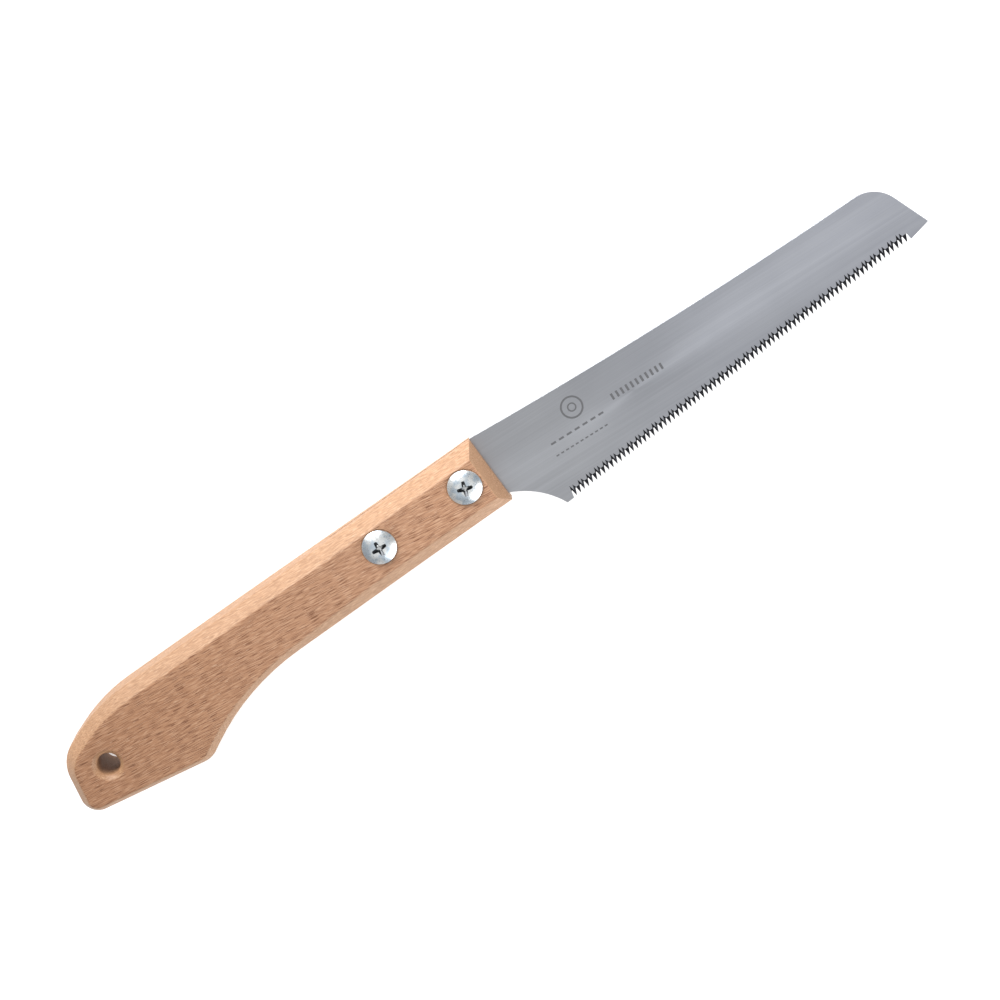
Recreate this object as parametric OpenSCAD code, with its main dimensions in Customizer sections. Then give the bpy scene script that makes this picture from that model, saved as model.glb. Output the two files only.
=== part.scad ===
// Small Japanese pull saw: a thin toothed blade held in the sawn slot of a
// chamfered wooden handle by two machine screws and their sleeve nuts.
// The saw lies flat: +X runs to the blade's toe, +Y to its back, +Z to the
// side the screws go in from. The origin is the hanging hole's centre.

/* [Handle] */
// Hanging hole centre to the front end
handle_reach = 165.5; // [132:0.5:200]
// Thickness of the handle
handle_t = 20; // [17:0.5:24]
// Height of the handle's back above the hanging hole centre
back_y = 18.7; // [16:0.1:22]
// Height of the grip at the front end
grip_h = 25.1; // [22:0.1:30]
// Butt end to the hanging hole centre, at the hole's level
butt_reach = 15.8; // [13:0.1:20]
// Lean of the butt end from square
butt_lean = 13; // [5:1:20]
// Where the back starts to fall away to the butt
crown_x = 9; // [7.5:0.5:11]
// Slope of the back as it falls away
crown_slope = 21; // [17:1:25]
// Radius that blends the back into its slope
crown_r = 66; // [50:1:80]
// Radius of the butt's upper corner
shoulder_r = 14; // [10:0.5:17]
// Radius of the butt's lower corner
butt_r = 6.5; // [5:0.5:8]
// Depth of the pommel below the hanging hole centre
pommel_y = 15.2; // [12.5:0.1:18.5]
// Slope of the pommel's underside
pommel_slope = 9.4; // [6:0.1:12]
// Hanging hole centre to the pommel's front corner
pommel_reach = 29; // [24:0.5:35]
// Radius of the pommel's front corner
pommel_r = 9; // [6:0.5:10]
// Slope that rises from the pommel to the grip
throat_slope = 28.6; // [24:0.1:34]
// Radius of the finger curve
finger_r = 92; // [76:1:100]

/* [Chamfers] */
// Chamfer width along the back
back_chamfer = 4.1; // [3.3:0.1:5]
// Chamfer width under the grip
grip_chamfer = 5; // [4:0.1:6]
// Chamfer width around the throat and pommel
throat_chamfer = 2.4; // [2:0.1:3]
// Chamfer width across the front end
end_chamfer = 2.9; // [2.4:0.1:3.5]
// Chamfer depth at the butt
rear_chamfer_h = 4.5; // [3:0.1:5.4]
// Chamfer depth at the front end
front_chamfer_h = 7.6; // [6:0.1:8]
// Where the chamfers start to grow towards the front
chamfer_from = 50; // [40:1:60]

/* [Hanging hole] */
// Diameter of the hanging hole
hang_d = 8; // [6:0.5:10]
// Diameter of its countersink at the face
hang_sink_d = 11; // [10.5:0.5:13.5]
// Depth of the countersink
hang_sink_h = 1.5; // [1:0.1:2]

/* [Blade] */
// Thickness of the blade
blade_t = 0.6; // [0.5:0.1:0.9]
// Length of the cutting edge from heel to toe
edge_l = 150; // [125:1:180]
// Slope of the tooth line
edge_slope = 2.8; // [2:0.1:3.5]
// Handle front to the heel corner
heel_x = 14.1; // [11.5:0.1:17]
// Depth of the heel corner below the hanging hole centre
heel_y = 18.7; // [15.5:0.1:22.5]
// Handle front to where the hollow's two sides would meet
hollow_x = 6.8; // [5.6:0.1:8.2]
// Radius of the hollow between handle and heel
heel_r = 28; // [23:0.5:29]
// Height of the toe's upper corner above the hanging hole centre
toe_back_y = 9.6; // [7:0.1:11.5]
// Slope of the toe's end edge from square
toe_slope = 21.4; // [14:0.1:28]
// Radius of the toe's upper corner
toe_r = 12; // [10:0.5:14]
// Rise of the toe's tip above the tooth line
toe_rise = 1.3; // [1:0.1:1.6]
// Plain edge between the last tooth and the toe's tip
toe_plain_l = 7.2; // [5:0.1:9]
// Heel corner to the first tooth's point
heel_plain_l = 3.9; // [3:0.1:5]
// Gap in the edge before the first tooth's point
first_gap = 1.2; // [0.9:0.1:1.4]
// Radius of the long curve of the blade's back
blade_back_r = 1850; // [1200:10:3000]

/* [Teeth] */
// Tooth pitch
tooth_pitch = 1.73; // [1.45:0.01:2.1]
// Tooth depth
tooth_h = 2.4; // [2:0.1:2.9]
// Slope of the cutting faces from square
face_slope = 5; // [1:1:7]
// Width of the gullet's floor
gullet_w = 0.25; // [0.15:0.05:0.3]
// Length of the small facet behind each point
facet_l = 0.35; // [0.2:0.05:0.45]
// Height of the small facet behind each point
facet_h = 0.5; // [0.3:0.1:0.6]

/* [Tang] */
// Length of the tang inside the handle
tang_l = 56; // [50:0.5:62]
// Step from the handle's back down to the tang
tang_drop = 1.4; // [1.1:0.1:2]
// Tang's lower edge below the hanging hole centre
tang_low_y = 1.7; // [1.4:0.1:2.4]
// Radius of the tang's rear corners
tang_r = 3; // [2:0.5:4]
// Slot depth beyond the tang's end
slot_spare = 2; // [1:0.5:4]

/* [Screws and nuts] */
// Handle front to the front screw
screw_inset = 9.5; // [9:0.5:12]
// Distance between the screws
screw_gap = 35; // [29:0.5:38]
// Height of the screws above the hanging hole centre
screw_y = 8; // [7:0.1:9.5]
// Screw shank diameter
screw_d = 5; // [4:0.5:5.5]
// Screw shank length
screw_l = 12; // [10:0.5:14.5]
// Screw head diameter
head_d = 11.8; // [10:0.1:12.6]
// Screw head height
head_h = 2.7; // [2.2:0.1:3.2]
// Height of the head's upright rim
head_rim_h = 0.5; // [0.4:0.1:0.6]
// Length of the cross recess
recess_l = 5.2; // [4.4:0.1:6.2]
// Width of the cross recess
recess_w = 1.3; // [1:0.1:1.6]
// Depth of the cross recess
recess_h = 2; // [1.6:0.1:2.4]
// Turn of the front screw's recess
front_turn = 71; // [0:1:89]
// Turn of the rear screw's recess
rear_turn = 87; // [0:1:89]
// Sleeve nut's outer diameter
sleeve_d = 7; // [6.4:0.1:8.4]
// Gap between the sleeve's end and the handle's screw side
sleeve_short = 4; // [3.3:0.1:4.8]
// Sleeve nut's head diameter
nut_head_d = 11; // [9.5:0.1:12.6]
// Sleeve nut's head height
nut_head_h = 2; // [1.7:0.1:2.4]
// Width of the nut's driver slot
nut_slot_w = 1.2; // [1:0.1:1.5]
// Depth of the nut's driver slot
nut_slot_h = 1; // [0.8:0.1:1.2]
// Thread bore beyond the screw's point
bore_spare = 1.5; // [1:0.1:2]

/* [Fits] */
// Radial clearance between screw and nut
thread_clear = 0.05; // [0.02:0.01:0.1]
// Radial clearance around the sleeve in wood and blade
sleeve_clear = 0.05; // [0.02:0.01:0.1]

/* [Hidden] */
arc_step = 5;             // degrees between points on a round
ring_step = 10;           // longest side of the handle outline behind its front end
fine = 72;                // facets that OpenSCAD draws a circle with
past = 1;                 // how far a cut runs past the surface it opens

grip_y = back_y - grip_h;
half_t = handle_t / 2;
sleeve_bore_d = sleeve_d + 2 * sleeve_clear;
thread_bore_d = screw_d + 2 * thread_clear;
front_screw_x = handle_reach - screw_inset;
rear_screw_x = front_screw_x - screw_gap;

// ---- outline geometry

function dir(a) = [cos(a), sin(a)];
function unit(v) = v / norm(v);
function left_of(v) = [-v.y, v.x];
function mix(a, b, t) = a + (b - a) * t;
function ease(t) = let (u = min(max(t, 0), 1)) u * u * (3 - 2 * u);

// Where the line through p at angle a meets the line through q at angle b
function meet(p, a, q, b) = p + dir(a) * cross(q - p, dir(b)) / cross(dir(a), dir(b));

// Half the angle at b between the sides to a and c
function half_angle(a, b, c) = acos(unit(a - b) * unit(c - b)) / 2;

// The corner b between a and c, rounded to radius r, its round reaching at most that far
function corner(a, b, c, r, most = 1000) =
    let (
        u = unit(a - b),
        v = unit(c - b),
        half = half_angle(a, b, c),
        reach = min(r / tan(half), most, 0.98 * norm(a - b), 0.98 * norm(c - b)),
        radius = reach * tan(half),
        centre = b + unit(u + v) * radius / sin(half),
        start = b + u * reach - centre,
        turn = (180 - 2 * half) * sign(cross(b - a, c - b)),
        steps = max(2, ceil(abs(turn) / arc_step))
    )
    [for (i = [0:steps])
        let (t = turn * i / steps)
        centre + [start.x * cos(t) - start.y * sin(t), start.x * sin(t) + start.y * cos(t)]];

// Outline through corners given as [x, y, radius]; radius 0 stays sharp, and two
// rounds that meet on one side share it
function rounded(list) =
    let (
        n = len(list),
        at = [for (c = list) [c.x, c.y]],
        want = [for (i = [0:n - 1])
            list[i].z / tan(half_angle(at[(i + n - 1) % n], at[i], at[(i + 1) % n]))]
    )
    [for (i = [0:n - 1])
        let (
            a = (i + n - 1) % n,
            c = (i + 1) % n,
            share_a = norm(at[a] - at[i]) / max(want[a] + want[i], 0.01),
            share_c = norm(at[c] - at[i]) / max(want[c] + want[i], 0.01)
        )
        each (list[i].z > 0
            ? corner(at[a], at[i], at[c], list[i].z, 0.96 * want[i] * min(share_a, share_c))
            : [at[i]])];

// The same outline with its sides after the first cut into steps of at most the given length
function dense(list, step) =
    let (n = len(list))
    [for (i = [0:n - 1])
        let (
            a = list[i],
            b = list[(i + 1) % n],
            parts = i == 0 ? 1 : ceil(norm(b - a) / step)
        )
        for (k = [0:parts - 1]) mix(a, b, k / parts)];

// Points on a slightly bowed edge from p to q, bowed to the left of travel, ends left out
function bowed(p, q, r, steps) =
    let (
        half = norm(q - p) / 2,
        rise = sqrt(r * r - half * half),
        centre = (p + q) / 2 - left_of(unit(q - p)) * rise,
        first = atan2(p.y - centre.y, p.x - centre.x),
        last = atan2(q.y - centre.y, q.x - centre.x)
    )
    [for (i = [1:steps - 1]) centre + r * dir(mix(first, last, i / steps))];

// ---- handle

// The crown, butt, pommel and throat are straight lines that meet in rounded corners
crown = [crown_x, back_y];
butt_angle = 90 - butt_lean;
shoulder = meet(crown, crown_slope, [-butt_reach, 0], butt_angle);
butt_low = meet([-butt_reach, 0], butt_angle, [0, -pommel_y], -pommel_slope);
pommel = [pommel_reach, -pommel_y - pommel_reach * tan(pommel_slope)];
throat = meet(pommel, throat_slope, [0, grip_y], 0);

// Anticlockwise from the front end's lower corner
handle_outline = dense(rounded([
    [handle_reach, grip_y, 0],
    [handle_reach, back_y, 0],
    [crown.x, crown.y, crown_r],
    [shoulder.x, shoulder.y, shoulder_r],
    [butt_low.x, butt_low.y, butt_r],
    [pommel.x, pommel.y, pommel_r],
    [throat.x, throat.y, finger_r]
]), ring_step);

function towards_front(x) = ease((x - chamfer_from) / (handle_reach - chamfer_from));
function chamfer_h(x) = mix(rear_chamfer_h, front_chamfer_h, towards_front(x));
function lower_chamfer(x) =
    mix(throat_chamfer, grip_chamfer, ease((x - chamfer_from) / (rear_screw_x - chamfer_from)));

// Outline point i moved in by the chamfer's width; the first two are the front corners
function inset(i) =
    let (
        n = len(handle_outline),
        p = handle_outline[i],
        inward = left_of(unit(handle_outline[(i + 1) % n] - handle_outline[(i + n - 1) % n])),
        w = mix(lower_chamfer(p.x), back_chamfer, (1 - inward.y) / 2)
    )
    i == 0 ? [p.x - end_chamfer, p.y + grip_chamfer]
    : i == 1 ? [p.x - end_chamfer, p.y - back_chamfer]
    : p + inward * w;

// Triangles that fill a flat between the outline's upper points from a on and its lower ones
// down to b, stepping towards the butt on whichever side is further forward
function flat_strip(ring, a, b) =
    let (n = len(ring))
    b - a < 2 ? []
    : ring[a + 1].x > ring[b - 1].x
        ? concat([[a, a + 1, b % n]], flat_strip(ring, a + 1, b))
        : concat([[a, b - 1, b % n]], flat_strip(ring, a, b - 1));

module handle_blank() {
    n = len(handle_outline);
    inner = [for (i = [0:n - 1]) inset(i)];
    points = concat(
        [for (p = inner) [p.x, p.y, -half_t]],
        [for (p = handle_outline) [p.x, p.y, chamfer_h(p.x) - half_t]],
        [for (p = handle_outline) [p.x, p.y, half_t - chamfer_h(p.x)]],
        [for (p = inner) [p.x, p.y, half_t]]
    );
    bands = [for (ring = [0:2], i = [0:n - 1])
        let (a = ring * n + i, b = ring * n + (i + 1) % n)
        each [[a, a + n, b], [b, a + n, b + n]]];
    low_cap = flat_strip(inner, 1, n);
    high_cap = [for (t = low_cap) [t[2] + 3 * n, t[1] + 3 * n, t[0] + 3 * n]];
    polyhedron(points = points, faces = concat(low_cap, high_cap, bands), convexity = 6);
}

// The hanging hole with its two countersinks, turned as one shape
module hang_hole() {
    wall_r = hang_d / 2;
    wall_z = half_t - hang_sink_h;
    sink_slope = (hang_sink_d / 2 - wall_r) / hang_sink_h;
    mouth_r = hang_sink_d / 2 + past * sink_slope;
    mouth_z = half_t + past;
    rotate_extrude($fn = fine)
        polygon([
            [0, -mouth_z], [mouth_r, -mouth_z], [wall_r, -wall_z],
            [wall_r, wall_z], [mouth_r, mouth_z], [0, mouth_z]
        ]);
}

module at_screws() {
    for (x = [front_screw_x, rear_screw_x])
        translate([x, screw_y, 0])
            children();
}

module blade_slot() {
    slot_l = tang_l + slot_spare;
    translate([handle_reach - slot_l, grip_y - past, -blade_t / 2])
        cube([slot_l + past, grip_h + 2 * past, blade_t]);
}

module handle() {
    color([0.80, 0.61, 0.46])
        difference() {
            handle_blank();
            hang_hole();
            blade_slot();
            at_screws()
                cylinder(d = sleeve_bore_d, h = handle_t + 2 * past, center = true, $fn = fine);
        }
}

// ---- blade

edge = dir(edge_slope);
heel = [handle_reach + heel_x, -heel_y];
toe_tip = heel + edge_l * edge + toe_rise * left_of(edge);
toe_back = [toe_tip.x - (toe_back_y - toe_tip.y) * tan(toe_slope), toe_back_y];
back_start = [handle_reach, back_y];
back_bow = asin(norm(toe_back - back_start) / 2 / blade_back_r);
back_slope = atan2(toe_back.y - back_start.y, toe_back.x - back_start.x);

// Teeth fill the edge between its two plain ends
teeth = floor((edge_l - heel_plain_l - toe_plain_l) / tooth_pitch);
teeth_end = heel_plain_l + teeth * tooth_pitch;
face_run = tooth_h * tan(face_slope);

// A place given by its distance along the tooth line and its height above it
function on_edge(along, up) = heel + along * edge + up * left_of(edge);

// Each tooth is a cutting face, a point, a small facet behind it and a long back
function tooth(i) =
    let (tip = heel_plain_l + i * tooth_pitch)
    [
        on_edge(tip - face_run, tooth_h),
        on_edge(tip, 0),
        on_edge(tip + facet_l, facet_h),
        on_edge(tip - face_run + tooth_pitch - gullet_w, tooth_h)
    ];

module blade_outline() {
    rear = handle_reach - tang_l;
    tang_high_y = back_y - tang_drop;
    hollow = [handle_reach + hollow_x, -tang_low_y];
    back_l = norm(toe_back - back_start);
    toe_round = corner(toe_back - back_l * dir(back_slope - back_bow), toe_back, toe_tip, toe_r);
    polygon(concat(
        [heel, on_edge(heel_plain_l - first_gap, 0)],
        [on_edge(heel_plain_l - face_run - gullet_w, tooth_h)],
        [for (i = [0:teeth - 1]) each tooth(i)],
        [on_edge(teeth_end - face_run, tooth_h), on_edge(teeth_end, 0), toe_tip],
        [for (i = [len(toe_round) - 1:-1:0]) toe_round[i]],
        bowed(toe_round[0], back_start, blade_back_r, 24),
        [back_start, [handle_reach, tang_high_y]],
        corner([handle_reach, tang_high_y], [rear, tang_high_y], [rear, -tang_low_y], tang_r),
        corner([rear, tang_high_y], [rear, -tang_low_y], hollow, tang_r),
        corner([rear, -tang_low_y], hollow, heel, heel_r)
    ));
}

module blade() {
    color([0.66, 0.68, 0.71])
        difference() {
            translate([0, 0, -blade_t / 2])
                linear_extrude(blade_t)
                    blade_outline();
            at_screws()
                cylinder(d = sleeve_bore_d, h = blade_t + 2 * past, center = true, $fn = fine);
        }
}

// ---- screws and sleeve nuts

// A low dome on the z = 0 plane with an upright rim
module dome(d, h, rim) {
    cap_h = h - rim;
    r = (d * d / 4 + cap_h * cap_h) / (2 * cap_h);
    intersection() {
        cylinder(d = d, h = h + past, $fn = fine);
        translate([0, 0, h - r])
            sphere(r = r, $fn = fine);
        translate([0, 0, h / 2])
            cube([d + past, d + past, h], center = true);
    }
}

module cross_recess(turn) {
    rotate(turn)
        for (a = [0, 90])
            rotate(a)
                translate([0, 0, head_h - recess_h / 2 + past / 2])
                    cube([recess_l, recess_w, recess_h + past], center = true);
}

// Truss-head machine screw whose head sits on the handle's face
module screw(x, turn) {
    translate([x, screw_y, half_t])
        difference() {
            union() {
                dome(head_d, head_h, head_rim_h);
                translate([0, 0, -screw_l])
                    cylinder(d = screw_d, h = screw_l + head_rim_h, $fn = fine);
            }
            cross_recess(turn);
        }
}

// Sleeve nut pushed in from the other face, its thread bore open towards the screw
module sleeve_nut(x) {
    sleeve_l = handle_t - sleeve_short;
    bore_l = screw_l - sleeve_short + bore_spare;
    translate([x, screw_y, -half_t])
        difference() {
            union() {
                mirror([0, 0, 1])
                    dome(nut_head_d, nut_head_h, head_rim_h);
                translate([0, 0, -head_rim_h])
                    cylinder(d = sleeve_d, h = sleeve_l + head_rim_h, $fn = fine);
            }
            translate([0, 0, sleeve_l - bore_l])
                cylinder(d = thread_bore_d, h = bore_l + past, $fn = fine);
            translate([0, 0, nut_slot_h / 2 - nut_head_h - past / 2])
                cube([nut_head_d + past, nut_slot_w, nut_slot_h + past], center = true);
        }
}

module front_screw() {
    color([0.82, 0.84, 0.86])
        screw(front_screw_x, front_turn);
}

module rear_screw() {
    color([0.82, 0.84, 0.86])
        screw(rear_screw_x, rear_turn);
}

module front_nut() {
    color([0.74, 0.76, 0.78])
        sleeve_nut(front_screw_x);
}

module rear_nut() {
    color([0.74, 0.76, 0.78])
        sleeve_nut(rear_screw_x);
}

handle();
blade();
front_screw();
rear_screw();
front_nut();
rear_nut();
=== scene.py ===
"""Looks of the small Japanese pull saw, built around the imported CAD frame. All sizes are in metres."""
import math

import bmesh
import bpy
import numpy as np
from mathutils import Matrix, Vector


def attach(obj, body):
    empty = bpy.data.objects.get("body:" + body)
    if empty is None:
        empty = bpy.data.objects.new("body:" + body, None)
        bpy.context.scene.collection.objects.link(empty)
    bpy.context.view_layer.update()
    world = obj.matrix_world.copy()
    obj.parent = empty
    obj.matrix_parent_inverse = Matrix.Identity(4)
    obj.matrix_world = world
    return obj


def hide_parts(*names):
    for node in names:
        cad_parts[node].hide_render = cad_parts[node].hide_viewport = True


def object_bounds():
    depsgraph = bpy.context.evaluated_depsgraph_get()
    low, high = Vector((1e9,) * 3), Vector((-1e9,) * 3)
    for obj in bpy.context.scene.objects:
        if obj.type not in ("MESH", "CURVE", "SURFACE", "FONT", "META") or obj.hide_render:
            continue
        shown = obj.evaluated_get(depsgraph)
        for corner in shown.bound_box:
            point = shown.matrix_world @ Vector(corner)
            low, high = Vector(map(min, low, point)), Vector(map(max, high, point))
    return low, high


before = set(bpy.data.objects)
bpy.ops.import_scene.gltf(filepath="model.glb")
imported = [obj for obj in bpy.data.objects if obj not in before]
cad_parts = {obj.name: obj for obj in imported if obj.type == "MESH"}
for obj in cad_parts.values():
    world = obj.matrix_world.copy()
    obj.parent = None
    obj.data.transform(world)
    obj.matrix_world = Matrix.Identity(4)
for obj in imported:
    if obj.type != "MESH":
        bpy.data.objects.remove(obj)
cad_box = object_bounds()

MM = 0.001

# ---- sizes that several pieces share

FRONT_X = 165.5 * MM
HALF_T = 10 * MM
BACK_Y = 18.7 * MM
GRIP_Y = -6.4 * MM
SCREW_Y = 8 * MM
SCREW_X = {"front": 156 * MM, "rear": 121 * MM}
RECESS_TURN = {"front": math.radians(71), "rear": math.radians(87)}
SLOT_L = 58 * MM
BLADE_HALF_T = 0.3 * MM
SLEEVE_HOLE_R = 3.55 * MM
BACK_CHAMFER = 4.1 * MM
END_CHAMFER = 2.9 * MM
WEAR = 0.07 * MM
PAST_FACE = 11 * MM

# ---- camera and lights, fitted to the photo

VIEW_TURN = math.radians(35.57)
VIEW_TILT_SIDE = -0.025
VIEW_TILT_UP = 0.26
VIEW_DISTANCE = 657.22 * MM
VIEW_AIM = Vector((161.59 * MM, -4.638 * MM, 0))
LENS = 70.35
WORLD_POWER = 0.34
LIT_POINT = np.array([0.15, 0, 0])
# each light is (name, right of the lit point and up from it as the camera sees them, height, size, power)
LIGHTS = [
    ("key", -0.52, 0.8, 0.44, (1.0, 0.5), 16.5),
    ("fill", 0.8, -0.5, 0.42, (1.1, 0.5), 8),
    ("overhead", 0, -0.18, 0.75, (1.4, 1.4), 2.5),
]
FLOOR_SIZE = 3.0
FLOOR_STEPS = 24
FLOOR_GAP = 0.1 * MM


# ---- plane geometry

def heading(angle):
    return np.array([math.cos(angle), math.sin(angle)])


def left_of(v):
    return np.array([-v[1], v[0]])


def cross2(a, b):
    return a[0] * b[1] - a[1] * b[0]


def unit(v):
    return v / np.linalg.norm(v)


def meet(p, a, q, b):
    """Where the line through p at angle a meets the line through q at angle b."""
    return p + heading(a) * cross2(q - p, heading(b)) / cross2(heading(a), heading(b))


def ease(t):
    u = min(max(t, 0.0), 1.0)
    return u * u * (3 - 2 * u)


def in_mm(*points):
    """The given points, from millimetres to metres."""
    return [tuple(value * MM for value in point) for point in points]


def round_corner(a, b, c, radius, step=math.radians(4)):
    """The corner b between a and c, rounded to an arc."""
    u, v = unit(a - b), unit(c - b)
    half = math.acos(float(np.clip(u @ v, -1, 1))) / 2
    reach = radius / math.tan(half)
    centre = b + unit(u + v) * radius / math.sin(half)
    start = b + u * reach - centre
    turn = (math.pi - 2 * half) * math.copysign(1, cross2(b - a, c - b))
    steps = max(3, math.ceil(abs(turn) / step))
    arc = []
    for i in range(steps + 1):
        t = turn * i / steps
        arc.append(centre + np.array([start[0] * math.cos(t) - start[1] * math.sin(t),
                                      start[0] * math.sin(t) + start[1] * math.cos(t)]))
    return arc


# each round takes a little less than its full radius, so that two of them never touch
ROUND_SHARE = 0.96


def rounded_outline(corners):
    """Closed outline through (point, radius) corners; rounds that meet on one side share it."""
    n = len(corners)
    at = [point for point, _ in corners]
    reach = []
    for i, (point, radius) in enumerate(corners):
        u, v = unit(at[i - 1] - point), unit(at[(i + 1) % n] - point)
        reach.append(radius / math.tan(math.acos(float(u @ v)) / 2))
    outline = []
    for i, (point, radius) in enumerate(corners):
        a, c = i - 1, (i + 1) % n
        share = min(1.0, np.linalg.norm(at[a] - point) / (reach[a] + reach[i]),
                    np.linalg.norm(at[c] - point) / (reach[c] + reach[i]))
        outline += round_corner(at[a], point, at[c], radius * ROUND_SHARE * share)
    return outline


def dense(outline, step):
    """The same closed outline with no side longer than step."""
    result = []
    for a, b in zip(outline, outline[1:] + outline[:1]):
        parts = max(1, math.ceil(np.linalg.norm(b - a) / step))
        result += [a + (b - a) * k / parts for k in range(parts)]
    return result


# ---- meshes

def mesh_object(name, vertices, faces, face_slots=None, sharp=math.radians(35)):
    mesh = bpy.data.meshes.new(name)
    mesh.from_pydata([tuple(map(float, v)) for v in vertices], [], [tuple(f) for f in faces])
    if face_slots:
        mesh.polygons.foreach_set("material_index", face_slots)
    mesh.validate()
    obj = bpy.data.objects.new(name, mesh)
    bpy.context.scene.collection.objects.link(obj)
    smooth(obj, sharp)
    return obj


def smooth(obj, sharp=math.radians(35)):
    """Outward normals, smooth shading and sharp edges over the given angle."""
    bm = bmesh.new()
    bm.from_mesh(obj.data)
    bmesh.ops.recalc_face_normals(bm, faces=bm.faces)
    bm.to_mesh(obj.data)
    bm.free()
    obj.data.shade_smooth()
    obj.data.set_sharp_from_angle(angle=sharp)


def merge_points(obj, distance):
    """Joins the points that fall together."""
    bm = bmesh.new()
    bm.from_mesh(obj.data)
    bmesh.ops.remove_doubles(bm, verts=bm.verts, dist=distance)
    bm.to_mesh(obj.data)
    bm.free()


def split_ngons(mesh):
    """Cuts every face of more than four corners into well-shaped triangles."""
    bm = bmesh.new()
    bm.from_mesh(mesh)
    large = [face for face in bm.faces if len(face.verts) > 4]
    bmesh.ops.triangulate(bm, faces=large, quad_method="BEAUTY", ngon_method="BEAUTY")
    bm.to_mesh(mesh)
    bm.free()


def subtract(obj, cutters):
    """Cuts the cutter objects out of obj and removes them."""
    bpy.context.view_layer.update()
    split_ngons(obj.data)
    for cutter in cutters:
        boolean = obj.modifiers.new("cut", "BOOLEAN")
        boolean.operation = "DIFFERENCE"
        boolean.solver = "EXACT"
        boolean.object = cutter
        if cutter.data.materials:
            boolean.material_mode = "TRANSFER"
    evaluated = obj.evaluated_get(bpy.context.evaluated_depsgraph_get())
    mesh = bpy.data.meshes.new_from_object(evaluated)
    obj.modifiers.clear()
    split_ngons(mesh)
    obj.data = mesh
    for cutter in cutters:
        bpy.data.objects.remove(cutter)
    return obj


def turned(name, profile, segments=96, reshape=None):
    """A closed solid turned about Z from (radius, height) points that start and end on the axis."""
    vertices = [(0, 0, profile[0][1])]
    rings = profile[1:-1]
    for radius, height in rings:
        for k in range(segments):
            t = 2 * math.pi * k / segments
            r = reshape(radius, height, t) if reshape else radius
            vertices.append((r * math.cos(t), r * math.sin(t), height))
    vertices.append((0, 0, profile[-1][1]))
    last = len(vertices) - 1
    faces = []
    for k in range(segments):
        j = (k + 1) % segments
        faces.append((0, 1 + j, 1 + k))
        for ring in range(len(rings) - 1):
            a = 1 + ring * segments
            faces.append((a + k, a + j, a + segments + j, a + segments + k))
        top = 1 + (len(rings) - 1) * segments
        faces.append((last, top + k, top + j))
    return mesh_object(name, vertices, faces)


def box_object(name, low, high):
    corners = [(x, y, z) for x in (low[0], high[0]) for y in (low[1], high[1]) for z in (low[2], high[2])]
    faces = [(0, 1, 3, 2), (4, 6, 7, 5), (0, 4, 5, 1), (2, 3, 7, 6), (0, 2, 6, 4), (1, 5, 7, 3)]
    return mesh_object(name, corners, faces)


# ---- node materials

class Nodes:
    """A small helper that adds nodes and joins them."""

    def __init__(self, name):
        self.material = bpy.data.materials.new(name)
        self.material.use_nodes = True
        self.tree = self.material.node_tree
        self.shader = self.tree.nodes["Principled BSDF"]

    def add(self, kind, inputs=None, **settings):
        node = self.tree.nodes.new(kind)
        for key, value in settings.items():
            setattr(node, key, value)
        for key, value in (inputs or {}).items():
            self.set(node, key, value)
        return node

    def set(self, node, key, value):
        if isinstance(value, bpy.types.NodeSocket):
            self.tree.links.new(value, node.inputs[key])
        else:
            node.inputs[key].default_value = value

    def place(self, scale, turn=0.0, shift=(0, 0, 0)):
        """Object coordinates, turned about Z and scaled."""
        coordinates = self.add("ShaderNodeTexCoord").outputs["Object"]
        turned_by = self.add("ShaderNodeMapping", {"Vector": coordinates, "Rotation": (0, 0, -turn)}).outputs[0]
        return self.add("ShaderNodeMapping", {"Vector": turned_by, "Scale": scale, "Location": shift}).outputs[0]

    def along(self):
        """The place along the saw, from the hanging hole towards the toe."""
        return self.add("ShaderNodeSeparateXYZ", {0: self.place((1, 1, 1))}).outputs[0]

    def noise(self, vector, detail=3.0, roughness=0.5, distortion=0.0):
        node = self.add("ShaderNodeTexNoise", {"Vector": vector, "Scale": 1.0, "Detail": detail,
                                               "Roughness": roughness, "Distortion": distortion})
        return node.outputs["Fac"]

    def ramp(self, value, *stops):
        """Maps a value through (position, grey) stops."""
        node = self.add("ShaderNodeValToRGB", {"Fac": value})
        elements = node.color_ramp.elements
        while len(elements) < len(stops):
            elements.new(0.5)
        for element, (position, grey) in zip(elements, stops):
            element.position = position
            element.color = (grey, grey, grey, 1)
        return node.outputs["Color"]

    def mix(self, factor, a, b, blend="MIX"):
        node = self.add("ShaderNodeMix", data_type="RGBA", blend_type=blend)
        for key, value in ((0, factor), (6, a), (7, b)):
            self.set(node, key, value)
        return node.outputs[2]

    def math(self, operation, a, b=0.0):
        node = self.add("ShaderNodeMath", {0: a, 1: b}, operation=operation)
        return node.outputs[0]

    def bump(self, height, strength, distance, normal=None):
        inputs = {"Height": height, "Strength": strength, "Distance": distance}
        if normal is not None:
            inputs["Normal"] = normal
        return self.add("ShaderNodeBump", inputs).outputs["Normal"]


def srgb(r, g, b):
    """Linear colour from 0-255 screen values."""
    def linear(v):
        v /= 255
        return v / 12.92 if v <= 0.04045 else ((v + 0.055) / 1.055) ** 2.4
    return (linear(r), linear(g), linear(b), 1)


# ---- materials

GRAIN_TURN = math.radians(-7)


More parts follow.
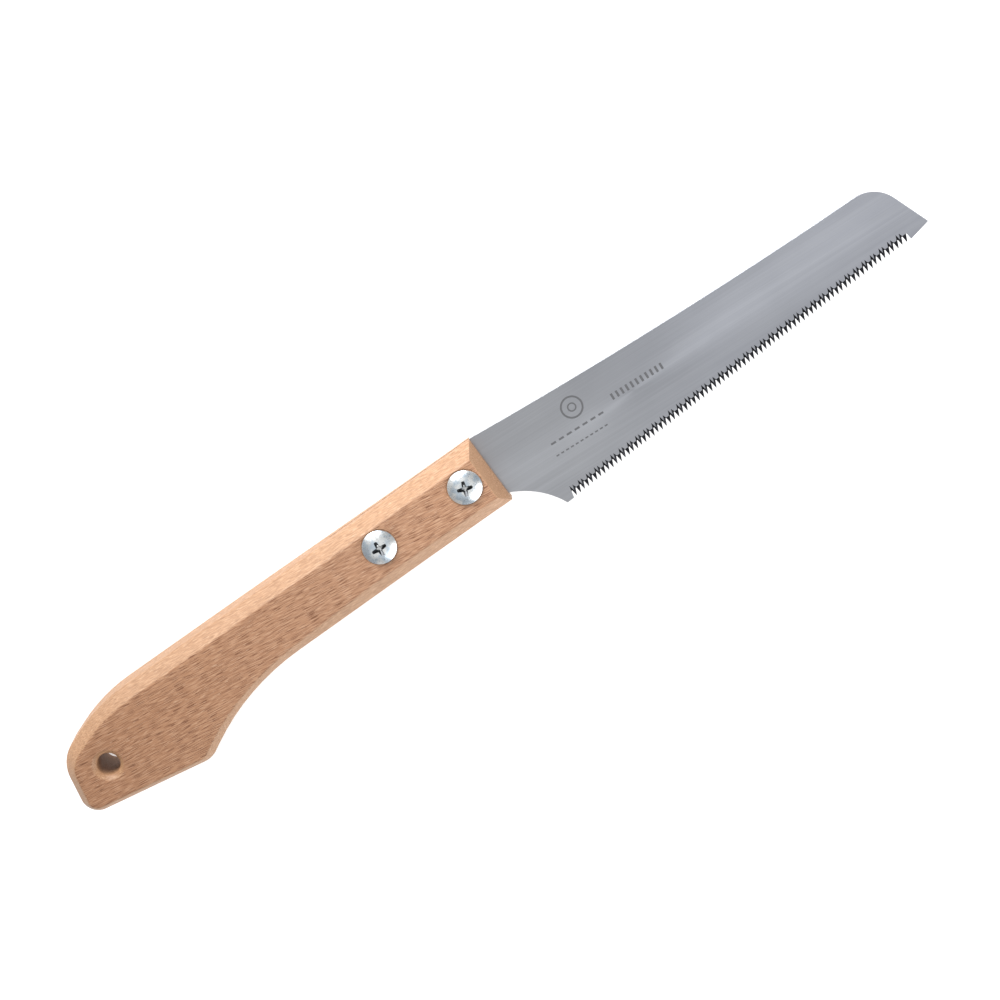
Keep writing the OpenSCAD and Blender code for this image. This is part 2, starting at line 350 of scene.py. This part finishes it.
def beech():
    """Bare sanded beech: pink-tan wood with short dark pores and pale ray flecks, calmer on the chamfers; a
    paler, less saturated painted sheen on the chamfers, a little painted shade on the flat faces, and painted
    shade towards the rear end.
    """
    n = Nodes("beech")
    warp = n.noise(n.place((14, 22, 22)), detail=2)
    broad = n.noise(n.place((7, 60, 60), GRAIN_TURN), detail=4, distortion=0.4)
    streak = n.noise(n.place((60, 1500, 1500), GRAIN_TURN), detail=3)
    fibres = n.noise(n.place((260, 3000, 3000), GRAIN_TURN), detail=1.0)
    tone = n.mix(n.ramp(broad, (0.3, 0), (0.7, 1)), srgb(186, 139, 106), srgb(199, 152, 118))
    tone = n.mix(n.ramp(warp, (0.35, 0), (0.65, 1)), tone, srgb(193, 148, 116))
    tone = n.mix(n.ramp(streak, (0.3, 0.3), (0.6, 0)), tone, srgb(168, 121, 90))
    tone = n.mix(n.ramp(fibres, (0.38, 0.38), (0.48, 0)), tone, srgb(150, 104, 76))
    tone = n.mix(n.ramp(fibres, (0.54, 0), (0.64, 0.55)), tone, srgb(220, 180, 150))
    facing = n.add("ShaderNodeSeparateXYZ", {0: n.add("ShaderNodeNewGeometry").outputs["Normal"]})
    flat = n.ramp(n.math("ABSOLUTE", facing.outputs[2]), (0.8, 0.5), (0.97, 1))
    pores = n.noise(n.place((210, 4800, 3600), GRAIN_TURN, (3, 7, 1)), detail=0.3)
    pore_mask = n.math("MULTIPLY", n.ramp(pores, (0.6, 0), (0.62, 0.85)), flat)
    rays = n.noise(n.place((330, 1900, 1500), GRAIN_TURN, (11, 2, 5)), detail=1)
    ray_mask = n.ramp(rays, (0.68, 0), (0.76, 0.55))
    tone = n.mix(pore_mask, tone, srgb(128, 83, 57))
    tone = n.mix(ray_mask, tone, srgb(230, 196, 168))
    # painted shade: the wood is multiplied darker towards the rear end, standing in for light falling off away
    # from the front
    rear = n.ramp(n.along(), (0, 1), (0.16, 0))
    tone = n.mix(rear, tone, srgb(226, 220, 212), "MULTIPLY")
    # painted light: the chamfers are mixed towards a paler, greyer tone as a painted sheen, and the flat faces
    # are multiplied slightly darker as painted shade
    chamfer_painted_sheen = n.mix(0.3, tone, srgb(186, 162, 121))
    tone = n.mix(flat, chamfer_painted_sheen, n.mix(1, tone, srgb(245, 244, 243), "MULTIPLY"))
    n.set(n.shader, "Base Color", tone)
    depth = n.math("SUBTRACT", n.math("MULTIPLY", fibres, 0.9), pore_mask)
    n.set(n.shader, "Normal", n.bump(depth, 0.5, 0.00006))
    n.set(n.shader, "Roughness", n.ramp(streak, (0.3, 0.56), (0.7, 0.46)))
    n.set(n.shader, "Specular IOR Level", 0.5)
    return n.material


def brushed_steel():
    """Spring steel with a fine brushing along the blade and faint cloudy patches, and painted shade near the
    heel and towards the toe.
    """
    n = Nodes("blade_steel")
    lines = n.noise(n.place((24, 7000, 7000), math.radians(-3)), detail=3, roughness=0.6)
    broad_lines = n.noise(n.place((9, 900, 900), math.radians(-3)), detail=2)
    clouds = n.noise(n.place((28, 40, 40)), detail=3)
    tone = n.mix(n.ramp(clouds, (0.35, 0), (0.65, 1)), srgb(174, 177, 185), srgb(183, 186, 194))
    along = n.along()
    # painted shade: near the heel and from there towards the toe the steel is multiplied darker, standing in for
    # the weaker reflection of the lamps
    tone = n.mix(n.ramp(along, (0.19, 1), (0.25, 0)), tone, srgb(252, 251, 247), "MULTIPLY")
    tone = n.mix(n.ramp(along, (0.27, 0), (0.31, 1)), tone, srgb(246, 246, 247), "MULTIPLY")
    tone = n.mix(n.ramp(lines, (0.3, 0.45), (0.6, 0)), tone, srgb(158, 160, 165))
    tone = n.mix(n.ramp(broad_lines, (0.42, 0), (0.8, 0.25)), tone, srgb(203, 206, 212))
    n.set(n.shader, "Base Color", tone)
    n.set(n.shader, "Roughness", n.ramp(lines, (0.3, 0.46), (0.7, 0.36)))
    n.set(n.shader, "Normal", n.bump(lines, 0.12, 0.00002))
    n.set(n.shader, "Metallic", 1.0)
    n.set(n.shader, "Anisotropic", 0.4)
    return n.material


def hardened_steel():
    """The tooth points: darkened by hardening, with grinding marks."""
    n = Nodes("hardened_steel")
    marks = n.noise(n.place((3000, 500, 3000)), detail=2)
    n.set(n.shader, "Base Color", n.mix(marks, srgb(26, 26, 29), srgb(62, 63, 68)))
    n.set(n.shader, "Roughness", n.ramp(marks, (0.3, 0.34), (0.7, 0.5)))
    n.set(n.shader, "Metallic", 1.0)
    return n.material


def zinc_plate():
    """Bright zinc plate, slightly uneven, with a cool tint and small dull spots."""
    n = Nodes("zinc_plate")
    clouds = n.noise(n.place((330, 330, 330)), detail=3)
    spots = n.noise(n.place((1500, 1500, 1500)), detail=2)
    tone = n.mix(n.ramp(clouds, (0.44, 0), (0.56, 1)), srgb(196, 208, 218), srgb(232, 235, 235))
    tone = n.mix(n.ramp(spots, (0.6, 0), (0.7, 0.45)), tone, srgb(140, 150, 160))
    n.set(n.shader, "Base Color", tone)
    n.set(n.shader, "Roughness", n.ramp(spots, (0.35, 0.26), (0.7, 0.4)))
    n.set(n.shader, "Normal", n.bump(clouds, 0.25, 0.0002, n.bump(spots, 0.1, 0.00003)))
    n.set(n.shader, "Metallic", 0.85)
    return n.material


def recess_painted_shade():
    """The stamped walls of a driver recess, painted darker than the plate around it as the shade inside the
    recess, and a little duller.
    """
    n = Nodes("recess_painted_shade")
    marks = n.noise(n.place((2200, 2200, 900)), detail=2)
    # painted shade: the walls get a dark grey for the shade that falls inside the recess
    n.set(n.shader, "Base Color", n.mix(marks, srgb(66, 68, 71), srgb(118, 120, 123)))
    n.set(n.shader, "Roughness", n.ramp(marks, (0.3, 0.3), (0.7, 0.45)))
    n.set(n.shader, "Metallic", 1.0)
    return n.material


def etched_grey():
    """A matt grey etched mark."""
    n = Nodes("etched_grey")
    grain = n.noise(n.place((4000, 4000, 4000)), detail=2)
    n.set(n.shader, "Base Color", n.mix(grain, srgb(92, 93, 96), srgb(116, 117, 120)))
    n.set(n.shader, "Roughness", n.ramp(grain, (0.3, 0.6), (0.7, 0.75)))
    n.set(n.shader, "Metallic", 0.4)
    return n.material


def floor_white():
    """A plain pale floor with a very faint mottle."""
    n = Nodes("floor_white")
    mottle = n.noise(n.place((40, 40, 40)), detail=2)
    n.set(n.shader, "Base Color", n.mix(mottle, (0.6, 0.6, 0.6, 1), (0.63, 0.63, 0.63, 1)))
    n.set(n.shader, "Roughness", n.ramp(mottle, (0.3, 0.8), (0.7, 0.85)))
    n.set(n.shader, "Specular IOR Level", 0.1)
    n.set(n.shader, "Emission Color", (1, 1, 1, 1))
    n.set(n.shader, "Emission Strength", 0.6)
    return n.material


BEECH = beech()
STEEL = brushed_steel()
TOOTH_STEEL = hardened_steel()
ZINC = zinc_plate()
RECESS_SHADE = recess_painted_shade()
ETCHED = etched_grey()


# ---- handle

CROWN = np.array([9, 18.7]) * MM
CROWN_SLOPE = math.radians(21)
BUTT = np.array([-15.8, 0]) * MM
BUTT_SLOPE = math.radians(77)
UNDER = np.array([0, -15.2]) * MM
UNDER_SLOPE = math.radians(-9.4)
POMMEL_X = 29 * MM
POMMEL_SLOPE = math.radians(28.6)
FRONT_CORNER_R = 0.4 * MM
CROWN_R = 66 * MM
SHOULDER_R = 14 * MM
BUTT_R = 6.5 * MM
POMMEL_R = 9 * MM
THROAT_R = 92 * MM
CHAMFER_START = 50
MITRE_ZONE = 4.5 * MM
ARRIS = 0.6 * MM
KERF_HALF_T = 0.33 * MM
SEAT_DEPTH = 0.16 * MM
HANDLE_SHARP = math.radians(30)


def handle_corners():
    """The handle's outline as (point, radius) corners, anticlockwise from the front's lower corner."""
    shoulder = meet(CROWN, CROWN_SLOPE, BUTT, BUTT_SLOPE)
    butt_low = meet(BUTT, BUTT_SLOPE, UNDER, UNDER_SLOPE)
    pommel = UNDER + heading(UNDER_SLOPE) * POMMEL_X / math.cos(UNDER_SLOPE)
    throat = meet(pommel, POMMEL_SLOPE, np.array([0, GRIP_Y]), 0)
    return [(np.array([FRONT_X, GRIP_Y]), FRONT_CORNER_R), (np.array([FRONT_X, BACK_Y]), FRONT_CORNER_R),
            (CROWN, CROWN_R), (shoulder, SHOULDER_R), (butt_low, BUTT_R),
            (pommel, POMMEL_R), (throat, THROAT_R)]


def growing(x, first, growth, run):
    """A size that grows over a run in front of CHAMFER_START; all but x are in millimetres."""
    return (first + growth * ease((x / MM - CHAMFER_START) / run)) * MM


def lower_chamfer(x):
    return growing(x, 2.4, 2.6, 71)


def chamfer_depth(x):
    return growing(x, 4.5, 3.1, 115.5)


def soft_bend(a, b, c, steps=5):
    """A quadratic curve that rounds the corner b between a and c."""
    curve = []
    for i in range(steps + 1):
        t = i / steps
        curve.append(tuple((1 - t) ** 2 * a[k] + 2 * t * (1 - t) * b[k] + t * t * c[k] for k in (0, 1)))
    return curve


def chamfer_section(width, depth):
    """Half section from the flat to the edge, as (share of the chamfer's width, height), arrises softened."""
    slope = math.hypot(width, depth)
    across, down = ARRIS / slope, ARRIS * depth / slope
    section = [(1 + 1.8 * ARRIS / width, HALF_T)]
    section += soft_bend((1 + ARRIS / width, HALF_T), (1, HALF_T), (1 - across, HALF_T - down))
    section += soft_bend((across, HALF_T - depth + down), (0, HALF_T - depth), (0, HALF_T - depth - ARRIS))
    return section


def handle_body():
    outline = dense(rounded_outline(handle_corners()), 3 * MM)
    n = len(outline)
    columns = []
    for i, point in enumerate(outline):
        inward = left_of(unit(outline[(i + 1) % n] - outline[i - 1]))
        # the front corners share one section, so that their points meet exactly on the mitres
        front = point[0] > FRONT_X - MITRE_ZONE
        along = FRONT_X if front else point[0]
        lower = lower_chamfer(along)
        width = BACK_CHAMFER if front else lower + (BACK_CHAMFER - lower) * (1 - inward[1]) / 2
        column = []
        for share, height in chamfer_section(width, chamfer_depth(along)):
            x, y = point + inward * (width * share + WEAR)
            if front:
                x = min(point[0], FRONT_X - share * END_CHAMFER)
                y = min(max(point[1], GRIP_Y + share * lower), BACK_Y - share * BACK_CHAMFER)
            column.append((x, y, height))
        columns.append(column + [(x, y, -height) for x, y, height in reversed(column)])
    rows = len(columns[0])
    faces = [[i * rows for i in range(n)], [i * rows + rows - 1 for i in reversed(range(n))]]
    for i in range(n):
        j = (i + 1) % n
        faces += [(i * rows + r, j * rows + r, j * rows + r + 1, i * rows + r + 1) for r in range(rows - 1)]
    handle = mesh_object("handle_wood", [v for column in columns for v in column], faces)
    merge_points(handle, 0.01 * MM)
    smooth(handle)
    return handle


def hang_cutter():
    """The hanging hole with its countersinks, the lips a little worn."""
    half = in_mm((4, 0), (4, 5))
    half += soft_bend(*in_mm((4, 8.1), (4, 8.5), (4.3, 8.8)), 4)
    half += soft_bend(*in_mm((5.1, 9.6), (5.5, 10), (6, 10.03)), 4)
    half.append((6.4 * MM, PAST_FACE))
    profile = [(0, -PAST_FACE)] + [(r, -z) for r, z in reversed(half[1:])] + half + [(0, PAST_FACE)]
    return turned("hang_cutter", profile)


def seated_bore():
    """A sleeve's bore, with the shallow seats that the heads have pressed into both faces."""
    seat_z = HALF_T - SEAT_DEPTH
    profile = [(0, -PAST_FACE), (5.95 * MM, -PAST_FACE), (5.85 * MM, -HALF_T), (5.6 * MM, -seat_z)]
    profile += [(SLEEVE_HOLE_R, -seat_z), (SLEEVE_HOLE_R, seat_z)]
    profile += [(6.0 * MM, seat_z), (6.25 * MM, HALF_T), (6.35 * MM, PAST_FACE)]
    return profile + [(0, PAST_FACE)]


def screw_bores(profile):
    """A cutter of the given profile on each screw's axis."""
    bores = []
    for which, x in SCREW_X.items():
        bore = turned(which + "_bore", profile)
        bore.location = (x, SCREW_Y, 0)
        bores.append(bore)
    return bores


def make_handle():
    handle = handle_body()
    kerf = box_object("kerf", (FRONT_X - SLOT_L, -20 * MM, -KERF_HALF_T),
                      (FRONT_X + 2 * MM, 30 * MM, KERF_HALF_T))
    subtract(handle, [hang_cutter(), kerf] + screw_bores(seated_bore()))
    smooth(handle, HANDLE_SHARP)
    handle.data.materials.append(BEECH)
    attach(handle, "saw")
    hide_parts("handle")


# ---- blade

EDGE_SLOPE = math.radians(2.8)
HEEL = np.array([179.6, -18.7]) * MM
EDGE_L = 150 * MM
PITCH = 1.73 * MM
TEETH = 80
FIRST_TOOTH = 3.9 * MM
TOOTH_H = 2.4 * MM
FACE_RUN = TOOTH_H * math.tan(math.radians(5))
GULLET_W = 0.25 * MM
EDGE_BREAK = 0.07 * MM
BACK_BOW_R = 1850 * MM
TOOTH_SET = 0.14 * MM
BEVEL_Z = 0.05 * MM
BLADE_SHARP = math.radians(2)
TOE_TIP_UP = 1.3 * MM
TOE_BACK_Y = 9.6 * MM
TOE_RAKE = math.radians(21.4)
TOE_R = 12 * MM
BACK_STEPS = 24
TANG_L = 56 * MM
TANG_LOW_Y = -1.7 * MM
TANG_STEP = 1.4 * MM
TANG_R = 3 * MM
HOLLOW_L = 6.8 * MM
HOLLOW_R = 28 * MM
HEEL_GAP = 1.2 * MM
PAST_BLADE = 1 * MM
# each shift is (along, up) from a corner of the tooth, in millimetres
TIP_LAND = (0.35, 0.5)
BEVEL_POINT = (0.42, 2.1)
BEVEL_LEFT, BEVEL_RIGHT = (0.26, 4.25), (-0.14, 4.0)
GROUND_LEFT, GROUND_RIGHT = (0.12, 2.55), (-0.22, 2.55)


def on_edge(along, up):
    """A place given by its distance along the tooth line and its height above it."""
    return HEEL + heading(EDGE_SLOPE) * along + left_of(heading(EDGE_SLOPE)) * up


def shifted(along, shift):
    return on_edge(along + shift[0] * MM, shift[1] * MM)


def tooth_points(i):
    """The tooth's outline, its outline on the bevelled face, and its two base corners on the ground face."""
    tip = FIRST_TOOTH + i * PITCH
    left, right = tip - FACE_RUN, tip - FACE_RUN + PITCH - GULLET_W
    plain = [on_edge(left, TOOTH_H), on_edge(tip, 0), shifted(tip, TIP_LAND), on_edge(right, TOOTH_H)]
    point = shifted(tip, BEVEL_POINT)
    bevelled = [shifted(left, BEVEL_LEFT), point, point, shifted(right, BEVEL_RIGHT)]
    return plain, bevelled, {0: shifted(left, GROUND_LEFT), 3: shifted(right, GROUND_RIGHT)}


def blade_body_points():
    """The blade's outline without its teeth, from the toe's tip round to the first gullet."""
    toe_tip = on_edge(EDGE_L, TOE_TIP_UP)
    back_start = np.array([FRONT_X, BACK_Y])
    toe_back = np.array([toe_tip[0] - (TOE_BACK_Y - toe_tip[1]) * math.tan(TOE_RAKE), TOE_BACK_Y])
    chord = toe_back - back_start
    reach, slope = np.linalg.norm(chord), math.atan2(chord[1], chord[0])
    bow = math.asin(reach / 2 / BACK_BOW_R)
    toe_round = round_corner(toe_tip, toe_back, toe_back - heading(slope - bow) * reach, TOE_R)
    first, last = toe_round[-1], back_start
    rise = math.sqrt(BACK_BOW_R ** 2 - (np.linalg.norm(last - first) / 2) ** 2)
    centre = (first + last) / 2 - left_of(unit(last - first)) * rise
    back = [centre + unit(first + (last - first) * k / BACK_STEPS - centre) * BACK_BOW_R
            for k in range(1, BACK_STEPS)]
    rear, high = FRONT_X - TANG_L, BACK_Y - TANG_STEP
    hollow = np.array([FRONT_X + HOLLOW_L, TANG_LOW_Y])
    tang_high, tang_low = np.array([rear, high]), np.array([rear, TANG_LOW_Y])
    return ([toe_tip] + toe_round + back + [back_start, np.array([FRONT_X, high])]
            + round_corner(np.array([FRONT_X, high]), tang_high, tang_low, TANG_R)
            + round_corner(tang_high, tang_low, hollow, TANG_R)
            + round_corner(tang_low, hollow, HEEL, HOLLOW_R)
            + [HEEL, on_edge(FIRST_TOOTH - HEEL_GAP, 0),
               on_edge(FIRST_TOOTH - FACE_RUN - GULLET_W, TOOTH_H)])


def bevelled_side(i):
    """The face that a tooth is bevelled on, 1 for the front and -1 for the back."""
    return 1 if i % 2 == 0 else -1


def blade_layers(outline, teeth):
    """Four copies of the outline: the front face, the two ends of the edge's flat, and the back face."""
    n = len(outline)
    face_z, side_z = BLADE_HALF_T, BLADE_HALF_T - EDGE_BREAK
    layers = [[], [], [], []]
    for i, point in enumerate(outline):
        inward = left_of(unit(outline[(i + 1) % n] - outline[i - 1]))
        inner = point + inward * EDGE_BREAK
        for layer, place, z in zip(layers, (inner, point, point, inner), (face_z, side_z, -side_z, -face_z)):
            layer.append([place[0], place[1], z])
    for i, first in enumerate(teeth):
        _, bevelled, ground = tooth_points(i)
        side = bevelled_side(i)
        face, edge, other_edge, other = layers if side > 0 else layers[::-1]
        for k in range(4):
            face[first + k] = [bevelled[k][0], bevelled[k][1], side * face_z]
            edge[first + k][2] = -side * BEVEL_Z
        for k in (0, 3):
            other[first + k][:2] = ground[k]
        for layer in (edge, other_edge, other):
            for k in (1, 2):
                layer[first + k][2] -= side * TOOTH_SET
    return layers


def blade_faces(n, teeth):
    """The faces over the four layers, and the material slot of each: 0 for plain steel, 1 for the teeth."""
    faces, slots = [], []
    in_tooth = [False] * n
    for first in teeth:
        for k in range(-1, 4):
            in_tooth[first + k] = True
    for band in range(3):
        for i in range(n):
            j = (i + 1) % n
            faces.append((band * n + i, (band + 1) * n + i, (band + 1) * n + j, band * n + j))
            slots.append(1 if in_tooth[i] else 0)
    for layer, side in ((0, 1), (3, -1)):
        border = []
        for i in range(n):
            tooth, k = divmod(i - teeth[0], 4)
            plain = 0 <= tooth < TEETH and bevelled_side(tooth) != side
            if not (plain and k in (1, 2)):
                border.append(layer * n + i)
        faces.append(border if side > 0 else border[::-1])
        slots.append(0)
        for i, first in enumerate(teeth):
            if bevelled_side(i) != side:
                face = [layer * n + first + k for k in range(4)]
                faces.append(face if side > 0 else face[::-1])
                slots.append(1)
    return faces, slots


def make_blade():
    outline = blade_body_points()
    teeth = []
    for i in range(TEETH):
        teeth.append(len(outline))
        outline += tooth_points(i)[0]
    end = FIRST_TOOTH + TEETH * PITCH
    outline += [on_edge(end - FACE_RUN, TOOTH_H), on_edge(end, 0)]
    vertices = [v for layer in blade_layers(outline, teeth) for v in layer]
    faces, slots = blade_faces(len(outline), teeth)
    blade = mesh_object("saw_blade", vertices, faces, slots, BLADE_SHARP)
    merge_points(blade, 0.002 * MM)
    for material in (STEEL, TOOTH_STEEL):
        blade.data.materials.append(material)
    hole = [(0, -PAST_BLADE), (SLEEVE_HOLE_R, -PAST_BLADE), (SLEEVE_HOLE_R, PAST_BLADE), (0, PAST_BLADE)]
    subtract(blade, screw_bores(hole))
    smooth(blade, BLADE_SHARP)
    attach(blade, "saw")
    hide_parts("blade")


# ---- etched mark

MARK_CENTRE = np.array([199.5, 7.4]) * MM
MARK_SLOPE = math.radians(-3)
MARK_LOW, MARK_HIGH = BLADE_HALF_T - 0.01 * MM, BLADE_HALF_T + 0.012 * MM
MARK_RINGS = in_mm((3.3, 3.95), (1.1, 1.6))
# each row is (middle x, middle y, dashes, spacing, dash length, dash height), in millimetres
MARK_ROWS = [
    (196.8, 0.4, 7, 3.1, 1.9, 0.7),
    (195.8, -3.9, 11, 1.9, 1.1, 0.5),
    (222, 1.9, 11, 1.9, 0.8, 2.3),
]


def prism(points, low, high, base):
    """Vertices and faces of a thin prism on the given outline."""
    n = len(points)
    vertices = [(x, y, z) for z in (low, high) for x, y in points]
    faces = [[base + i for i in reversed(range(n))], [base + n + i for i in range(n)]]
    faces += [(base + i, base + (i + 1) % n, base + n + (i + 1) % n, base + n + i) for i in range(n)]
    return vertices, faces


def ring_prism(centre, inner, outer, low, high, base, steps=48):
    vertices, faces = [], []
    for z in (low, high):
        for radius in (inner, outer):
            for k in range(steps):
                x, y = centre + heading(2 * math.pi * k / steps) * radius
                vertices.append((x, y, z))
    for k in range(steps):
        j = (k + 1) % steps
        a, b, c, d = (base + level * steps for level in range(4))
        faces += [(c + k, d + k, d + j, c + j), (a + k, a + j, b + j, b + k),
                  (b + k, b + j, d + j, d + k), (a + k, c + k, c + j, a + j)]
    return vertices, faces


def make_mark():
    """A plain generic etched mark: two rings, with rows of plain dashes beside and below them."""
    along, across = heading(MARK_SLOPE), left_of(heading(MARK_SLOPE))
    vertices, faces = [], []

    def join(shape):
        vertices.extend(shape[0])
        faces.extend(shape[1])

    for inner, outer in MARK_RINGS:
        join(ring_prism(MARK_CENTRE, inner, outer, MARK_LOW, MARK_HIGH, len(vertices)))
    for x, y, count, gap, length, height in MARK_ROWS:
        for k in range(count):
            middle = np.array([x, y]) * MM + along * (k - (count - 1) / 2) * gap * MM
            a, b = along * length / 2 * MM, across * height / 2 * MM
            dash = [middle - a - b, middle + a - b, middle + a + b, middle - a + b]
            join(prism(dash, MARK_LOW, MARK_HIGH, len(vertices)))
    mark = mesh_object("etched_mark", vertices, faces)
    mark.data.materials.append(ETCHED)
    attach(mark, "saw")


# ---- screws and sleeve nuts

SCREW_R = 2.5 * MM
THREAD_PITCH = 0.8 * MM
THREAD_H = 0.42 * MM
THREAD_TOP = -0.9 * MM
THREAD_END = 0.7 * MM
THREAD_ROWS = 12 * 13
SHANK_L = 12 * MM
HEAD_H = 2.7 * MM
NUT_HEAD_H = 2 * MM
ROUND_SIDES = 64
ROUND_SHARP = math.radians(32)
# each level of the cross recess is (height, reach of a wing, half of its width), in millimetres
RECESS_LEVELS = [(3.0, 3.3, 0.84), (2.32, 2.6, 0.64), (1.4, 1.75, 0.5), (0.75, 1.0, 0.4)]
RECESS_FLOOR = 0.45 * MM


def threaded(radius, height, angle):
    """The shank's radius with its helical thread, which deepens over one pitch below the head."""
    if radius != SCREW_R or height > THREAD_TOP:
        return radius
    phase = (height / THREAD_PITCH - angle / (2 * math.pi)) % 1
    ridge = 1 - abs(2 * phase - 1)
    fade = ease((THREAD_TOP - height) / THREAD_PITCH)
    return radius - THREAD_H * fade * (1 - min(1, 1.15 * ridge))


def dome(radius, height, rim, steps=14):
    """(radius, height) points down a low dome to its rim."""
    cap = height - rim
    sphere = (radius * radius + cap * cap) / (2 * cap)
    return [(radius * t, height - sphere + math.sqrt(sphere ** 2 - (radius * t) ** 2))
            for t in (1 - (1 - i / steps) ** 1.3 for i in range(1, steps + 1))]


def screw_profile():
    top = dome(5.62 * MM, HEAD_H, 0.72 * MM)
    rim = soft_bend(top[-1], *in_mm((5.93, 0.56), (5.9, 0.3)), 5)[1:]
    rim += soft_bend(*in_mm((5.9, 0.3), (5.9, 0.02), (5.6, 0)), 4)[1:]
    shank = in_mm((2.7, 0), (2.5, -0.2))
    threaded_l = SHANK_L + THREAD_TOP - THREAD_END
    shank += [(SCREW_R, THREAD_TOP - threaded_l * k / THREAD_ROWS) for k in range(THREAD_ROWS + 1)]
    shank += [(1.9 * MM, -SHANK_L), (0, -SHANK_L)]
    return [(0, HEAD_H)] + top + rim + shank


def plus_cutter(name):
    """The cross recess: two crossed wings that narrow and shorten with depth, over a small cone."""
    vertices = []
    for z, reach, half in RECESS_LEVELS:
        wing = [(half, -half), (reach, -half * 0.8), (reach + 0.12, 0), (reach, half * 0.8)]
        for quarter in range(4):
            c, s = math.cos(quarter * math.pi / 2), math.sin(quarter * math.pi / 2)
            vertices += [((x * c - y * s) * MM, (x * s + y * c) * MM, z * MM) for x, y in wing]
    sides = len(vertices) // len(RECESS_LEVELS)
    tip = len(vertices)
    vertices.append((0, 0, RECESS_FLOOR))
    faces = [list(range(sides))]
    for row in range(0, tip - sides, sides):
        faces += [(row + k, row + sides + k, row + sides + (k + 1) % sides, row + (k + 1) % sides)
                  for k in range(sides)]
    walls = len(faces)
    base = tip - sides
    faces += [(base + k, base + (k + 1) % sides, tip) for k in range(sides)]
    # the walls take the recess's painted shade; the small cone at the floor keeps the bright zinc plate
    cutter = mesh_object(name, vertices, faces, [0] * walls + [1] * sides)
    cutter.data.materials.append(RECESS_SHADE)
    cutter.data.materials.append(ZINC)
    return cutter


def move_mesh(obj, x, y, z, turn=0.0):
    obj.data.transform(Matrix.Translation((x, y, z)) @ Matrix.Rotation(turn, 4, "Z"))
    obj.data.update()


def make_screw(which):
    screw = turned(which + "_screw_steel", screw_profile(), ROUND_SIDES, threaded)
    recess = plus_cutter(which + "_recess")
    screw.data.materials.append(ZINC)
    subtract(screw, [recess])
    smooth(screw, ROUND_SHARP)
    move_mesh(screw, SCREW_X[which], SCREW_Y, HALF_T, RECESS_TURN[which])
    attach(screw, which + "_screw")
    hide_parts(which + "_screw")


def make_nut(which):
    """A slotted sleeve nut, its head on the lower face and its sleeve open towards the screw."""
    top = dome(5.2 * MM, NUT_HEAD_H, 0.66 * MM)
    rim = soft_bend(top[-1], *in_mm((5.52, 0.52), (5.5, 0.28)), 5)[1:]
    rim += soft_bend(*in_mm((5.5, 0.28), (5.5, 0.02), (5.2, 0)), 4)[1:]
    head = [(r, -h) for r, h in [(0, NUT_HEAD_H)] + top + rim]
    sleeve = in_mm((3.7, 0), (3.5, 0.2), (3.5, 8), (3.5, 15.75), (3.3, 16))
    bore = in_mm((2.9, 16), (2.56, 15.6), (2.56, 6.5), (0, 5.6))
    nut = turned(which + "_nut_steel", head + sleeve + bore, ROUND_SIDES)
    slot = box_object(which + "_slot", *in_mm((-7, -0.6, -3), (7, 0.6, -1)))
    nut.data.materials.append(ZINC)
    # the slot's walls take the recess's painted shade
    slot.data.materials.append(RECESS_SHADE)
    subtract(nut, [slot])
    smooth(nut, ROUND_SHARP)
    move_mesh(nut, SCREW_X[which], SCREW_Y, -HALF_T)
    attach(nut, which + "_nut")
    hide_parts(which + "_nut")


# ---- floor, lights and camera

def make_floor():
    height = cad_box[0][2] - FLOOR_GAP
    places = [FLOOR_SIZE * (i / FLOOR_STEPS - 0.5) for i in range(FLOOR_STEPS + 1)]
    vertices = [(x, y, height) for x in places for y in places]
    row = FLOOR_STEPS + 1
    faces = [(i * row + j, (i + 1) * row + j, (i + 1) * row + j + 1, i * row + j + 1)
             for i in range(FLOOR_STEPS) for j in range(FLOOR_STEPS)]
    floor = mesh_object("floor", vertices, faces)
    floor.data.materials.append(floor_white())


def area_light(name, place, size, power):
    light = bpy.data.lights.new(name, "AREA")
    light.shape = "RECTANGLE"
    light.size, light.size_y = size
    light.energy = power
    obj = bpy.data.objects.new(name, light)
    bpy.context.scene.collection.objects.link(obj)
    obj.location = place
    obj.rotation_euler = (Vector(LIT_POINT) - Vector(place)).to_track_quat("-Z", "Y").to_euler()


def make_light():
    world = bpy.data.worlds.new("studio")
    world.use_nodes = True
    background = world.node_tree.nodes["Background"]
    background.inputs["Color"].default_value = (1, 1, 1, 1)
    background.inputs["Strength"].default_value = WORLD_POWER
    bpy.context.scene.world = world
    up = np.array([math.sin(VIEW_TURN), math.cos(VIEW_TURN)])
    right = np.array([math.cos(VIEW_TURN), -math.sin(VIEW_TURN)])
    for name, across, along, height, size, power in LIGHTS:
        x, y = right * across + up * along + LIT_POINT[:2]
        area_light(name, (x, y, height), size, power)


def make_camera():
    right = Vector((math.cos(VIEW_TURN), -math.sin(VIEW_TURN), 0))
    up = Vector((math.sin(VIEW_TURN), math.cos(VIEW_TURN), 0))
    back = (right * VIEW_TILT_SIDE + up * VIEW_TILT_UP + Vector((0, 0, 1))).normalized()
    up = (up - back * up.dot(back)).normalized()
    right = up.cross(back)
    camera = bpy.data.cameras.new("camera")
    camera.lens = LENS
    camera.sensor_width = 36
    camera.clip_start = 0.01
    obj = bpy.data.objects.new("camera", camera)
    bpy.context.scene.collection.objects.link(obj)
    place = VIEW_AIM + back * VIEW_DISTANCE
    obj.matrix_world = Matrix((
        (right.x, up.x, back.x, place.x),
        (right.y, up.y, back.y, place.y),
        (right.z, up.z, back.z, place.z),
        (0, 0, 0, 1),
    ))
    bpy.context.scene.camera = obj


make_camera()
make_light()
make_floor()
make_handle()
make_blade()
make_mark()
for screw_name in ("front", "rear"):
    make_screw(screw_name)
    make_nut(screw_name)
bpy.context.scene.view_settings.view_transform = "Standard"

bpy.context.view_layer.update()
